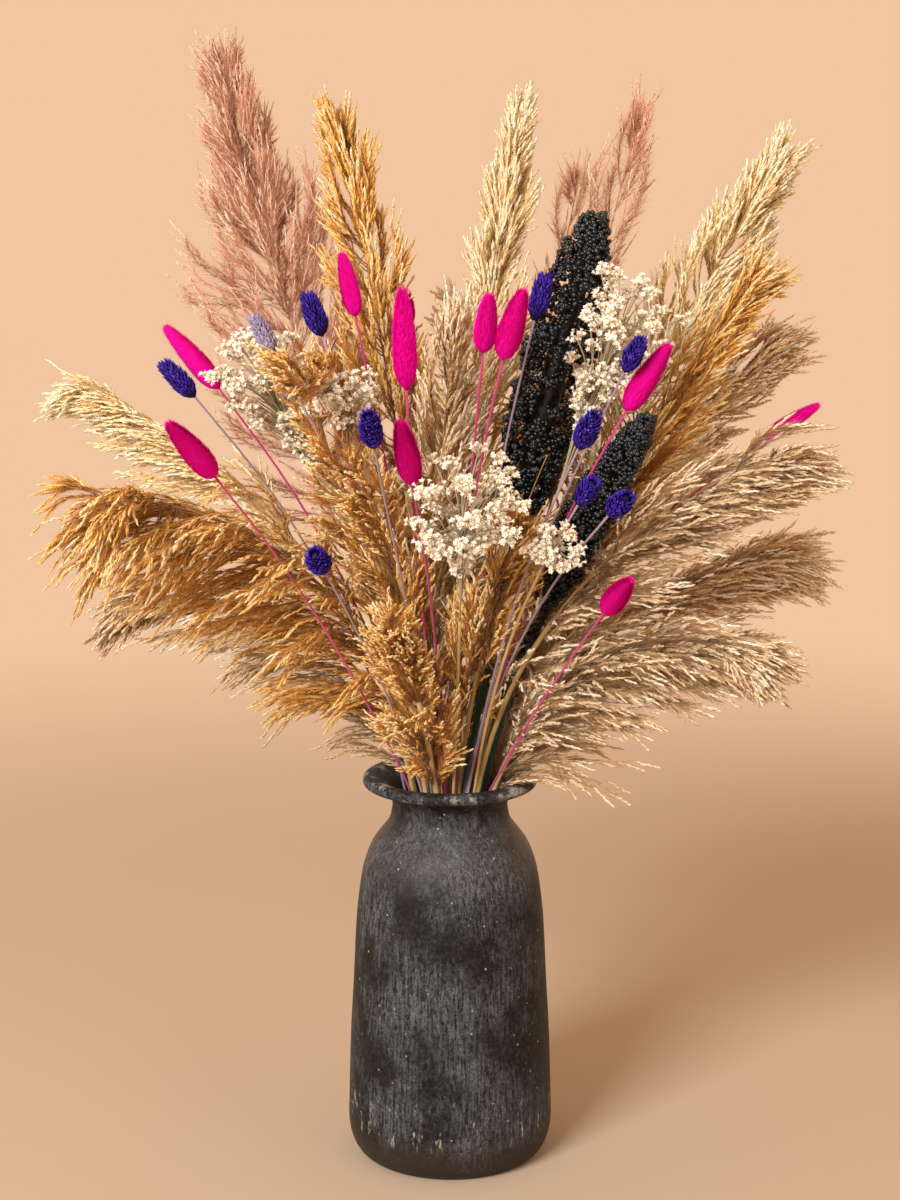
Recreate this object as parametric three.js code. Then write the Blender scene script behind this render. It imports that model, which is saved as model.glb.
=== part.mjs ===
import * as THREE from "three";

// A vase that holds a bunch of dried grasses and flowers. Millimetres and degrees. +Z is up, the
// front faces -Y, and the origin is the centre of the flat disc that the vase stands on.

// The vase, turned about its own axis.
const VASE_HEIGHT = 330;
const BASE_RADIUS = 70; // the flat disc underneath
const HEEL_HEIGHT = 32; // where the rounded lower edge ends
const BELLY_RADIUS = 86.5; // widest, just above the heel
const NECK_RADIUS = 48; // outside, where it is narrowest
const NECK_DROP = 26; // from the lip's top down to the neck
const LIP_RADIUS = 73;
const LIP_THICKNESS = 9;
const MOUTH_RADIUS = 63; // inside edge of the lip
const WALL = 6.5;
const FLOOR = 10;

// The side from the heel up to the neck: shares of the way up, each with the share of the way in.
const SIDE = [
  [0, 0], [0.25, 0.05], [0.45, 0.13], [0.64, 0.2], [0.77, 0.31], [0.83, 0.41], [0.88, 0.55],
  [0.92, 0.75], [0.955, 0.93], [1, 1],
];

// The stalks.
const BUNCH_SCALE = 1; // every stalk's reach and head, as a share of the reach and head listed
const PLUME_STEM = 2.4; // radii
const SORGHUM_STEM = 3.4;
const STATICE_STEM = 1.4;
const FINE_STEM = 1.1;
const CLEARANCE = 1.2; // kept between two stalks, and between a stalk and the vase
const FOOT_TURN = -50; // how far the stems twist round each other between the neck and the floor
const FOOT_SPREAD = 1.75; // how much wider they stand on the floor than in the neck

// How finely the solids are cut.
const VASE_SIDES = 48;
const PLUME_SIDES = 8;
const FINE_SIDES = 6;
const SPINE_STEPS = 22;
const STEM_STATIONS = 4;
const SETTLE_ROUNDS = 600;
const MOUTH_CHECKS = 5;
// Two spine points further apart than this, beyond their radii, aren't on touching steps.
const LONGEST_STEP = 90;
// A stalk pushed this far above the neck only leans; pushed lower down it also shifts in the neck.
const SWAY_HEIGHT = 150;
// Each push undoes this share of how deep two stalks overlap, and below SETTLED they are left.
const PUSH = 0.55;
const SETTLED = 0.05;

const UP = new THREE.Vector3(0, 0, 1);
const neckHeight = VASE_HEIGHT - NECK_DROP;
const neckInside = NECK_RADIUS - WALL;
const footHeight = FLOOR + 1;
const radians = THREE.MathUtils.degToRad;

// Share of a head's length against share of its half width, from its lower end to its tip.
const SHAPES = {
  plume: [[0, 0], [0.06, 0.45], [0.15, 0.7], [0.26, 0.9], [0.36, 0.97], [0.46, 1], [0.58, 0.92],
    [0.7, 0.8], [0.8, 0.64], [0.89, 0.46], [0.96, 0.24], [1, 0]],
  tail: [[0, 0.1], [0.08, 0.72], [0.2, 0.96], [0.35, 1], [0.55, 0.9], [0.75, 0.7], [0.92, 0.4], [1, 0]],
  spray: [[0, 0.05], [0.2, 0.34], [0.4, 0.62], [0.6, 0.9], [0.75, 1], [0.88, 0.95], [0.97, 0.6], [1, 0]],
  sorghum: [[0, 0.25], [0.06, 0.55], [0.15, 0.82], [0.28, 0.98], [0.4, 1], [0.55, 0.97], [0.7, 0.85],
    [0.83, 0.66], [0.93, 0.4], [1, 0]],
};

const KINDS = {
  plume: { shape: SHAPES.plume, stem: PLUME_STEM, sides: PLUME_SIDES },
  tail: { shape: SHAPES.tail, stem: FINE_STEM, sides: FINE_SIDES },
  canary: { shape: SHAPES.tail, stem: FINE_STEM, sides: FINE_SIDES },
  statice: { shape: SHAPES.spray, stem: STATICE_STEM, sides: PLUME_SIDES },
  sorghum: { shape: SHAPES.sorghum, stem: SORGHUM_STEM, sides: PLUME_SIDES },
};

const COLOURS = {
  rose: 0xb98673, gold: 0xb98a4c, cream: 0xd8c193, brown: 0xa5815a, beige: 0xb39c78,
  pink: 0xee1fa6, violet: 0x47309a, lilac: 0x77688f, white: 0xe9dfc6, black: 0x23282b,
};

// One row for each stalk: its name, kind and colour, the way it faces (0 is +X, -90 the front), how
// far it swings round on its way up, how far it leans as it leaves the neck, how much further it bows
// over by its tip, its reach from neck to tip, how far off centre it stands in the neck, and its
// head's length and width.
const STALKS = [
  ["plume_rose_tall", "plume", "rose", 145, -25, 16, 15, 685, 35, 330, 96],
  ["plume_gold_left_back", "plume", "gold", 145, -25, 2, 19, 595, 10, 330, 72],
  ["plume_cream_centre", "plume", "cream", 70, 0, 4, 25, 610, 10, 340, 66],
  ["plume_rose_right_back", "plume", "rose", 35, 20, 14, 12, 620, 25, 270, 66],
  ["plume_rose_mid_back", "plume", "rose", 60, 15, 16, 28, 605, 25, 280, 56],
  ["plume_cream_right", "plume", "cream", 15, 5, 21, 15, 610, 30, 320, 68],
  ["plume_gold_right", "plume", "gold", 0, -15, 24, 14, 510, 20, 260, 46],
  ["plume_brown_right", "plume", "brown", 20, 15, 20, 35, 510, 30, 260, 60],
  ["plume_fan_upper", "plume", "beige", -35, 20, 9, 62, 455, 25, 270, 66],
  ["plume_fan_middle", "plume", "brown", 0, 5, 12, 66, 360, 30, 260, 66],
  ["plume_fan_low", "plume", "beige", -25, -10, 14, 84, 325, 35, 240, 62],
  ["plume_gold_front_right", "plume", "gold", -55, -5, 10, 28, 355, 10, 230, 52],
  ["plume_gold_diagonal", "plume", "gold", -145, 25, 8, 40, 455, 5, 240, 48],
  ["plume_big_left", "plume", "gold", -160, 30, 2, 86, 475, 20, 310, 88],
  ["plume_upper_left", "plume", "cream", 170, 5, 9, 62, 480, 30, 240, 66],
  ["plume_low_left", "plume", "beige", 160, 5, 13, 98, 380, 20, 260, 66],
  ["plume_brown_middle", "plume", "brown", 180, 0, 8, -14, 415, 2, 230, 54],
  ["plume_gold_front_left", "plume", "gold", -110, 10, 20, 30, 230, 25, 110, 52],
  ["plume_rose_left_back", "plume", "rose", 120, -10, 24, 10, 435, 10, 210, 60],
  ["plume_brown_back", "plume", "brown", 85, 5, 10, 60, 545, 20, 230, 70],
  ["plume_gold_back_right", "plume", "gold", 50, 30, 20, 35, 480, 30, 230, 66],
  ["tail_upper_left", "tail", "pink", -170, 25, 6, 8, 465, 10, 50, 17],
  ["tail_long", "tail", "pink", -115, 10, 18, -8, 450, 10, 80, 21],
  ["tail_far_left", "tail", "pink", -170, -15, 14, 30, 455, 20, 66, 21],
  ["tail_left_drooping", "tail", "pink", -140, 15, 25, 25, 440, 35, 66, 22],
  ["tail_middle", "tail", "pink", -100, 0, 8, 38, 390, 15, 70, 22],
  ["tail_pair_short", "tail", "pink", -70, 5, 6, 8, 435, 5, 46, 20],
  ["tail_pair_tall", "tail", "pink", -75, 10, 0, 35, 465, 15, 64, 23],
  ["tail_right", "tail", "pink", -35, -5, 13, 24, 440, 15, 64, 22],
  ["tail_far_right", "tail", "pink", 25, -15, 26, 35, 455, 15, 54, 15],
  ["tail_low_right", "tail", "pink", -45, -25, 30, 25, 310, 35, 50, 21],
  ["tail_behind", "tail", "pink", 110, 0, 8, 5, 425, 30, 28, 12],
  ["canary_upper_left", "canary", "violet", -165, 0, 6, 15, 440, 15, 36, 20],
  ["canary_far_left", "canary", "violet", 180, -5, 11, 34, 425, 35, 38, 18],
  ["canary_pale_left", "canary", "lilac", -155, 0, 17, 22, 445, 10, 33, 15],
  ["canary_centre", "canary", "violet", -120, 25, 9, 40, 410, 20, 40, 19],
  ["canary_centre_right", "canary", "violet", -35, 20, 5, 10, 450, 5, 38, 18],
  ["canary_right", "canary", "violet", -25, -30, 13, 25, 445, 10, 32, 15],
  ["canary_by_sorghum", "canary", "violet", -60, 0, 16, 25, 400, 25, 35, 19],
  ["canary_low_right_a", "canary", "violet", -55, -5, 15, 32, 350, 20, 28, 17],
  ["canary_low_right_b", "canary", "violet", -45, -20, 15, 45, 375, 15, 32, 19],
  ["canary_low_left", "canary", "violet", -130, 25, 20, 35, 315, 30, 28, 20],
  ["statice_left", "statice", "white", 180, 30, 9, 25, 425, 15, 105, 72],
  ["statice_inner_left", "statice", "white", -140, -20, 12, 10, 375, 15, 60, 52],
  ["statice_centre", "statice", "white", -85, -5, 18, 22, 345, 25, 85, 84],
  ["statice_right", "statice", "white", -15, -15, 13, 15, 465, 20, 120, 84],
  ["statice_low_right", "statice", "white", -60, -5, 12, 35, 295, 35, 40, 34],
  ["sorghum_large", "sorghum", "black", 10, -25, 10, 6, 510, 10, 265, 60],
  ["sorghum_small", "sorghum", "black", -15, -10, 11, 25, 370, 25, 190, 38],
];

function vaseProfile() {
  const corner = (x, y) => new THREE.Vector2(x, y);
  const heel = new THREE.EllipseCurve(
    BASE_RADIUS, HEEL_HEIGHT, BELLY_RADIUS - BASE_RADIUS, HEEL_HEIGHT, -Math.PI / 2, 0,
  ).getPoints(5);
  const side = new THREE.SplineCurve(SIDE.map(([up, inward]) => corner(
    THREE.MathUtils.lerp(BELLY_RADIUS, NECK_RADIUS, inward),
    THREE.MathUtils.lerp(HEEL_HEIGHT, neckHeight, up),
  ))).getPoints(2 * (SIDE.length - 1));
  const flare = new THREE.EllipseCurve(
    LIP_RADIUS - LIP_THICKNESS / 2, neckHeight, LIP_RADIUS - LIP_THICKNESS / 2 - NECK_RADIUS,
    NECK_DROP - LIP_THICKNESS, Math.PI, Math.PI / 2, true,
  ).getPoints(4);
  const edge = new THREE.EllipseCurve(
    LIP_RADIUS - LIP_THICKNESS / 2, VASE_HEIGHT - LIP_THICKNESS / 2, LIP_THICKNESS / 2,
    LIP_THICKNESS / 2, -Math.PI / 2, Math.PI / 2,
  ).getPoints(5);
  const outside = [...heel, ...side.slice(1), ...flare.slice(1), ...edge.slice(1)];
  return [corner(0, 0), ...outside, ...insideProfile(side)];
}

// From the lip down to the middle of the floor, a wall's thickness inside the outer side.
function insideProfile(side) {
  const mouth = new THREE.SplineCurve([
    new THREE.Vector2(MOUTH_RADIUS, VASE_HEIGHT),
    new THREE.Vector2(THREE.MathUtils.lerp(neckInside, MOUTH_RADIUS, 0.57), VASE_HEIGHT - 0.27 * NECK_DROP),
    new THREE.Vector2(THREE.MathUtils.lerp(neckInside, MOUTH_RADIUS, 0.17), VASE_HEIGHT - 0.65 * NECK_DROP),
    new THREE.Vector2(neckInside, neckHeight),
  ]).getPoints(5);
  const wall = side.slice(1, -1).map((point, k) => {
    const along = side[k + 2].clone().sub(side[k]).normalize();
    return new THREE.Vector2(point.x - along.y * WALL, point.y + along.x * WALL);
  });
  const inside = wall.reverse().filter((point) => point.y > FLOOR + WALL);
  const lowest = inside[inside.length - 1];
  return [...mouth, ...inside, new THREE.Vector2(lowest.x, FLOOR + WALL),
    new THREE.Vector2(lowest.x - WALL, FLOOR), new THREE.Vector2(0, FLOOR)];
}

// The vase's inside radius at a height between its neck and its lip.
function mouthRadius(profile, height) {
  if (height >= VASE_HEIGHT) return MOUTH_RADIUS;
  const inside = profile.slice(profile.findIndex((point) => point.x === MOUTH_RADIUS));
  const below = inside.findIndex((point) => point.y <= height);
  const share = (height - inside[below].y) / (inside[below - 1].y - inside[below].y);
  return THREE.MathUtils.lerp(inside[below].x, inside[below - 1].x, share);
}

// A stalk leaves the neck leaning outwards, and bows over steadily from there to its tip.
function freeShape(stalk) {
  const points = [new THREE.Vector3()];
  const step = stalk.reach / SPINE_STEPS;
  for (let k = 0; k < SPINE_STEPS; k += 1) {
    const share = (k + 0.5) / SPINE_STEPS;
    const tilt = radians(stalk.lean + stalk.bow * share);
    const facing = radians(stalk.facing + stalk.swing * share);
    const ahead = new THREE.Vector3(
      Math.sin(tilt) * Math.cos(facing), Math.sin(tilt) * Math.sin(facing), Math.cos(tilt),
    );
    points.push(points[k].clone().addScaledVector(ahead, step));
  }
  return points;
}

function headRadius(stalk, along) {
  const share = (along - (stalk.reach - stalk.head)) / stalk.head;
  if (share <= 0) return stalk.stem;
  const shape = stalk.shape;
  const next = Math.max(1, shape.findIndex(([at]) => at >= Math.min(share, 1)));
  const [lowAt, low] = shape[next - 1];
  const [highAt, high] = shape[next];
  const radius = THREE.MathUtils.mapLinear(Math.min(share, 1), lowAt, highAt, low, high);
  return Math.max(stalk.stem, (radius * stalk.width) / 2);
}

function plant([name, kind, colour, facing, swing, lean, bow, reach, seat, head, width]) {
  const stalk = { name, colour, facing, swing, lean, bow, ...KINDS[kind] };
  stalk.reach = reach * BUNCH_SCALE;
  stalk.head = head * BUNCH_SCALE;
  stalk.width = width * BUNCH_SCALE;
  stalk.free = freeShape(stalk);
  const step = stalk.reach / SPINE_STEPS;
  stalk.radii = stalk.free.map((_, k) => {
    const samples = [-0.5, 0, 0.5].map((part) => headRadius(stalk, (k + part) * step));
    return Math.max(...samples);
  });
  stalk.neck = new THREE.Vector2(seat, 0).rotateAround(new THREE.Vector2(), radians(facing));
  stalk.sway = new THREE.Vector2();
  bend(stalk);
  return stalk;
}

// Places the spine: the free shape, swayed over, on its point in the neck.
function bend(stalk) {
  const swayed = new THREE.Vector3(stalk.sway.x, stalk.sway.y, 1).normalize();
  const turn = new THREE.Quaternion().setFromUnitVectors(UP, swayed);
  const root = new THREE.Vector3(stalk.neck.x, stalk.neck.y, neckHeight);
  stalk.spine = stalk.free.map((point) => point.clone().applyQuaternion(turn).add(root));
  stalk.box = new THREE.Box3().setFromPoints(stalk.spine).expandByScalar(stalk.width / 2 + CLEARANCE);
}

// How far apart two straight stretches are, and the way from one to the other.
function approach(a, b, c, d) {
  const u = b.clone().sub(a);
  const v = d.clone().sub(c);
  const w = a.clone().sub(c);
  const uu = u.dot(u);
  const uv = u.dot(v);
  const vv = v.dot(v);
  const uw = u.dot(w);
  const vw = v.dot(w);
  const limit = (value) => Math.min(1, Math.max(0, value));
  let s = limit((uv * vw - vv * uw) / Math.max(uu * vv - uv * uv, 1e-9));
  const t = limit((uv * s + vw) / vv);
  s = limit((uv * t - uw) / uu);
  return w.addScaledVector(u, s).addScaledVector(v, -t);
}

// The worst place where two stalks come closer than the clearance.
function contact(one, other) {
  let worst = null;
  if (!one.box.intersectsBox(other.box)) return worst;
  for (let i = 0; i < SPINE_STEPS; i += 1) {
    const oneRadius = Math.max(one.radii[i], one.radii[i + 1]);
    for (let j = 0; j < SPINE_STEPS; j += 1) {
      const need = oneRadius + Math.max(other.radii[j], other.radii[j + 1]) + CLEARANCE;
      if (one.spine[i].distanceTo(other.spine[j]) < need + LONGEST_STEP) {
        const gap = approach(one.spine[i], one.spine[i + 1], other.spine[j], other.spine[j + 1]);
        const depth = need - gap.length();
        if (depth > 0 && (!worst || depth > worst.depth)) {
          const oneHeight = one.spine[i + 1].z - neckHeight;
          const otherHeight = other.spine[j + 1].z - neckHeight;
          worst = { depth, gap, oneHeight, otherHeight };
        }
      }
    }
  }
  return worst;
}

// Shifts a stalk sideways by a distance, at one height above the neck.
function nudge(stalk, height, push) {
  const swaying = Math.min(1, height / SWAY_HEIGHT);
  stalk.sway.addScaledVector(push, swaying / Math.max(height, 1));
  stalk.neck.addScaledVector(push, 1 - swaying);
  stalk.neck.clampLength(0, neckInside - stalk.stem - CLEARANCE);
}

function keepInMouth(stalk, profile) {
  for (let k = 0; k <= MOUTH_CHECKS; k += 1) {
    const height = neckHeight + (k / MOUTH_CHECKS) * NECK_DROP;
    const next = Math.max(1, stalk.spine.findIndex((point) => point.z > height));
    const [below, above] = [stalk.spine[next - 1], stalk.spine[next]];
    const point = below.clone().lerp(above, (height - below.z) / (above.z - below.z));
    const slope = above.clone().sub(below).normalize().z;
    const radius = Math.hypot(point.x, point.y);
    const over = radius + stalk.stem / slope + CLEARANCE - mouthRadius(profile, height);
    if (over > 0) nudge(stalk, height - neckHeight, new THREE.Vector2(-point.x, -point.y).setLength(over));
  }
}

// The stalks lean on each other until none is closer to another than the clearance. The lighter
// head of a pair gives way more.
function settle(stalks, profile) {
  for (let round = 0; round < SETTLE_ROUNDS; round += 1) {
    let deepest = 0;
    stalks.forEach((one, index) => {
      stalks.slice(index + 1).forEach((other) => {
        const touch = contact(one, other);
        if (touch) {
          const push = new THREE.Vector2(touch.gap.x, touch.gap.y).setLength(touch.depth * PUSH);
          const share = other.width / (one.width + other.width);
          nudge(one, touch.oneHeight, push.clone().multiplyScalar(share));
          nudge(other, touch.otherHeight, push.clone().multiplyScalar(share - 1));
          bend(one);
          bend(other);
          deepest = Math.max(deepest, touch.depth);
        }
      });
      keepInMouth(one, profile);
      bend(one);
    });
    if (deepest < SETTLED) return;
  }
}

// Where a solid is measured across: places along the spine, each with its radius.
function stations(stalk) {
  const curve = new THREE.CatmullRomCurve3(stalk.spine);
  const turned = stalk.neck.clone().rotateAround(new THREE.Vector2(), radians(FOOT_TURN));
  const foot = new THREE.Vector3(turned.x * FOOT_SPREAD, turned.y * FOOT_SPREAD, footHeight);
  const places = [{ point: foot, radius: 0 }, { point: foot, radius: stalk.stem }];
  const stemLength = stalk.reach - stalk.head;
  for (let k = 0; k < STEM_STATIONS; k += 1) {
    const share = (k / STEM_STATIONS) * (stemLength / stalk.reach);
    places.push({ point: curve.getPoint(share), radius: stalk.stem });
  }
  stalk.shape.forEach(([at, share], k) => {
    const last = k === stalk.shape.length - 1;
    const radius = last ? 0 : Math.max(stalk.stem, (share * stalk.width) / 2);
    places.push({ point: curve.getPoint((stemLength + at * stalk.head) / stalk.reach), radius });
  });
  return places;
}

// A turned solid whose rings are carried along the spine without twisting.
function stalkGeometry(stalk) {
  const places = stations(stalk);
  const outline = places.map((place, k) => new THREE.Vector2(place.radius, k));
  const geometry = new THREE.LatheGeometry(outline, stalk.sides);
  const frames = [];
  let across = new THREE.Vector3(1, 0, 0);
  places.forEach(({ point }, k) => {
    const before = places[Math.max(0, k - (k > 1 ? 1 : 0))].point;
    const after = places[Math.min(places.length - 1, Math.max(k + 1, 2))].point;
    const back = point.clone().sub(before).normalize();
    const along = after.clone().sub(point).normalize().add(back).normalize();
    across = across.clone().addScaledVector(along, -across.dot(along)).normalize();
    frames.push({ point, across, other: across.clone().cross(along) });
  });
  const position = geometry.attributes.position;
  for (let k = 0; k < position.count; k += 1) {
    const { point, across: first, other } = frames[Math.round(position.getY(k))];
    const moved = point.clone().addScaledVector(first, position.getX(k));
    moved.addScaledVector(other, position.getZ(k));
    position.setXYZ(k, moved.x, moved.y, moved.z);
  }
  geometry.computeVertexNormals();
  return geometry;
}

function solid(name, geometry, color, roughness) {
  const mesh = new THREE.Mesh(geometry, new THREE.MeshStandardMaterial({ color, roughness, metalness: 0 }));
  mesh.name = name;
  return mesh;
}

const profile = vaseProfile();
const vaseGeometry = new THREE.LatheGeometry(profile, VASE_SIDES).rotateX(Math.PI / 2);
const stalks = STALKS.map(plant);
settle(stalks, profile);

const bunch = new THREE.Group();
bunch.add(solid("vase", vaseGeometry, 0x38393c, 0.7));
stalks.forEach((stalk) => {
  bunch.add(solid(stalk.name, stalkGeometry(stalk), COLOURS[stalk.colour], 0.9));
});

export default bunch;
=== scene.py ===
"""A vase of dried pampas grass and flowers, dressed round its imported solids.

Every stalk's head and stem follow the spine of that stalk's own solid, and the vase is turned from
the same sizes as its solid. Lengths are in metres, +Z is up and the front faces -Y.
"""

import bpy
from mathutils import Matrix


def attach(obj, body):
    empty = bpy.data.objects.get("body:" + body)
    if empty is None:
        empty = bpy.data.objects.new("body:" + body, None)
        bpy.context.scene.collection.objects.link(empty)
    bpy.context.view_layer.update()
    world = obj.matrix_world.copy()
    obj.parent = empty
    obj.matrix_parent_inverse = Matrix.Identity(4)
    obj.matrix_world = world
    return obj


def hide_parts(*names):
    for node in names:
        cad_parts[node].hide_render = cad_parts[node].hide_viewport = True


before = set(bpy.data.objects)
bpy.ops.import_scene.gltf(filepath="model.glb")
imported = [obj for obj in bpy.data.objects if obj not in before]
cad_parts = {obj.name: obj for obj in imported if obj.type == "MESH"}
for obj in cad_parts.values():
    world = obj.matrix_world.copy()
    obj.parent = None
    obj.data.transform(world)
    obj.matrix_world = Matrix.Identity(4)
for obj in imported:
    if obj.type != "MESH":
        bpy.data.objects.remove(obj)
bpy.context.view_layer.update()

import logging
import math
from dataclasses import dataclass, field
from enum import Enum
from functools import cache
from typing import Callable, Iterable, Sequence

import bmesh
import bpy
import numpy as np
from mathutils import Matrix, Vector

log = logging.getLogger("bunch")
Socket = bpy.types.NodeSocket
Profile = list[tuple[float, float]]
MM = 0.001
MM_PER_METRE = 1000
MERGE_GAP = 1e-6
UP = np.array([0.0, 0.0, 1.0])
GOLDEN_ANGLE = math.pi * (3 - math.sqrt(5))


# ---- Colours and material nodes ------------------------------------------------------------------


def linear(code: str) -> tuple[float, float, float, float]:
    """Turns an sRGB hex colour to linear light.

    Args:
        code: Six hex digits, such as "c8a15a".

    Returns:
        Red, green, blue and an alpha of 1.
    """
    parts = [int(code[k : k + 2], 16) / 255 for k in (0, 2, 4)]
    light = [p / 12.92 if p <= 0.04045 else ((p + 0.055) / 1.055) ** 2.4 for p in parts]
    return (light[0], light[1], light[2], 1.0)


class Nodes:
    """A new material's node tree, with a method for each kind of node that the finishes share."""

    def __init__(self, name: str) -> None:
        """Starts an empty node material, whose patterns lie on the object's own metres.

        Args:
            name: The finish's name.
        """
        self.material = bpy.data.materials.new(name)
        self.material.use_nodes = True
        self.tree = self.material.node_tree
        self.tree.nodes.clear()
        self.place = self.add("ShaderNodeTexCoord").outputs["Object"]

    def add(self, kind: str, inputs: dict | None = None, **settings: str) -> bpy.types.Node:
        """Adds a node with its settings, and sets or links its inputs.

        Args:
            kind: The node's type, such as "ShaderNodeTexNoise".
            inputs: Each input's name or number, with a value, a hex colour or the socket that feeds it.
            **settings: The node's own properties.

        Returns:
            The new node.
        """
        node = self.tree.nodes.new(kind)
        for key, value in settings.items():
            setattr(node, key, value)
        for key, value in (inputs or {}).items():
            if isinstance(value, Socket):
                self.tree.links.new(value, node.inputs[key])
            else:
                node.inputs[key].default_value = linear(value) if isinstance(value, str) else value
        return node

    def shade(self) -> Socket:
        """The shade that each small part carries, from 0 to 1: its own tone, and in the plumes also painted
        shade that darkens parts deep inside the head.
        """
        return self.add("ShaderNodeAttribute", attribute_name="shade").outputs["Fac"]

    def ramp(self, factor: Socket, stops: Sequence[tuple[float, str]]) -> Socket:
        """Adds a colour ramp.

        Args:
            factor: The socket that runs along the ramp.
            stops: Positions from 0 to 1, each with its hex colour.

        Returns:
            The ramp's colour.
        """
        node = self.add("ShaderNodeValToRGB", {"Fac": factor})
        while len(node.color_ramp.elements) < len(stops):
            node.color_ramp.elements.new(0.5)
        for element, (place, code) in zip(node.color_ramp.elements, stops):
            element.position = place
            element.color = linear(code)
        return node.outputs["Color"]

    def blend(self, factor: Socket, low: Socket | str, high: str, mode: str = "MIX") -> Socket:
        """Mixes two colours; factor says how much of high shows."""
        inputs = {0: factor, 6: low, 7: high}
        return self.add("ShaderNodeMix", inputs, data_type="RGBA", blend_type=mode).outputs[2]

    def noise(self, size_mm: float, detail: float = 2.0, rough: float = 0.5, stretch: float = 1.0) -> Socket:
        """Adds a noise.

        Args:
            size_mm: The width of its features.
            detail: How many finer levels it has.
            rough: How strong the finer levels are.
            stretch: How many times as tall as wide its features are.

        Returns:
            The noise's value.
        """
        place = self.place
        if stretch != 1.0:
            inputs = {"Vector": place, "Scale": (1.0, 1.0, 1.0 / stretch)}
            place = self.add("ShaderNodeMapping", inputs).outputs["Vector"]
        inputs = {"Vector": place, "Scale": MM_PER_METRE / size_mm, "Detail": detail, "Roughness": rough}
        return self.add("ShaderNodeTexNoise", inputs).outputs["Fac"]

    def span(self, value: Socket, low: float, high: float, top: float = 1.0, base: float = 0.0) -> Socket:
        """Maps low to base and high to top, and holds it there."""
        inputs = {"Value": value, "From Min": low, "From Max": high, "To Min": base, "To Max": top}
        return self.add("ShaderNodeMapRange", inputs).outputs["Result"]

    def times(self, one: Socket, other: Socket | float, plus: Socket | float = 0.0) -> Socket:
        """The product of two values, and a third one added to it."""
        inputs = {0: one, 1: other, 2: plus}
        return self.add("ShaderNodeMath", inputs, operation="MULTIPLY_ADD").outputs[0]

    def bump(self, height: Socket, strength: float, depth: float, **under: Socket) -> Socket:
        """Adds fine relief, over another relief if its socket is given as Normal."""
        inputs = {"Height": height, "Strength": strength, "Distance": depth, **under}
        return self.add("ShaderNodeBump", inputs).outputs["Normal"]

    def skin(self, inputs: dict) -> Socket:
        """Adds the main shader with its inputs."""
        return self.add("ShaderNodeBsdfPrincipled", inputs).outputs["BSDF"]

    def finished(self, surface: Socket) -> bpy.types.Material:
        """Links the surface to the material's output, and hands the material over."""
        self.add("ShaderNodeOutputMaterial", {"Surface": surface})
        return self.material


@dataclass(frozen=True)
class DryFinish:
    """Dull dried plant matter, coloured along each part from its darker root to its pale tip; in the plumes
    the darker roots and inner parts are painted shade.
    """

    name: str
    deep: str
    body: str
    pale: str
    tip: str
    mottle: str
    roughness: float = 0.8
    sheen: float = 0.25
    gloss: float = 0.25
    glow: float = 0.0
    patch_mm: float = 22.0
    fibre_mm: float = 1.2

    def material(self) -> bpy.types.Material:
        """Builds the node material, which reads each part's own shade.

        Returns:
            The material.
        """
        nodes = Nodes(self.name)
        # In the plumes the deep end of the ramp is painted shade inside the head; the pale tip is the plant's
        # own colour.
        stops = [(0.0, self.deep), (0.38, self.body), (0.72, self.pale), (1.0, self.tip)]
        colour = nodes.ramp(nodes.shade(), stops)
        # Dyed and dried heads are uneven in patches about as wide as a finger.
        patches = nodes.span(nodes.noise(self.patch_mm, 3.0, 0.6), 0.42, 0.72, 0.55)
        colour = nodes.blend(patches, colour, self.mottle, "MULTIPLY")
        # Fibre grain, drawn at 1.2 mm because the real fibres are too fine to show.
        grain = nodes.bump(nodes.noise(self.fibre_mm), 0.25, 0.4 * MM)
        inputs = {
            "Base Color": colour,
            "Roughness": self.roughness,
            "Sheen Weight": self.sheen,
            "Sheen Roughness": 0.6,
            "Specular IOR Level": self.gloss,
            "Normal": grain,
        }
        surface = nodes.skin(inputs)
        if self.glow > 0:
            # Hairs and husks are thin enough to let light through from behind.
            through = nodes.add("ShaderNodeBsdfTranslucent", {"Color": colour}).outputs["BSDF"]
            surface = nodes.add("ShaderNodeMixShader", {0: self.glow, 1: surface, 2: through}).outputs[0]
        return nodes.finished(surface)


@dataclass(frozen=True)
class SeedFinish:
    """Dyed sorghum grain: hard round seeds with a dull gloss."""

    name: str = "dyed sorghum seed"
    deep: str = "030404"
    body: str = "101418"
    pale: str = "2e373e"
    smoothest: float = 0.16
    roughest: float = 0.46
    dye_mm: float = 2.0

    def material(self) -> bpy.types.Material:
        """Builds the node material.

        Returns:
            The material.
        """
        nodes = Nodes(self.name)
        colour = nodes.ramp(nodes.shade(), [(0.0, self.deep), (0.6, self.body), (1.0, self.pale)])
        # Each seed is about 4 mm across, and its dye takes unevenly over 2 mm.
        rough = nodes.span(nodes.noise(self.dye_mm), 0.0, 1.0, self.roughest, self.smoothest)
        return nodes.finished(nodes.skin({"Base Color": colour, "Roughness": rough, "IOR": 1.5}))


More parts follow.
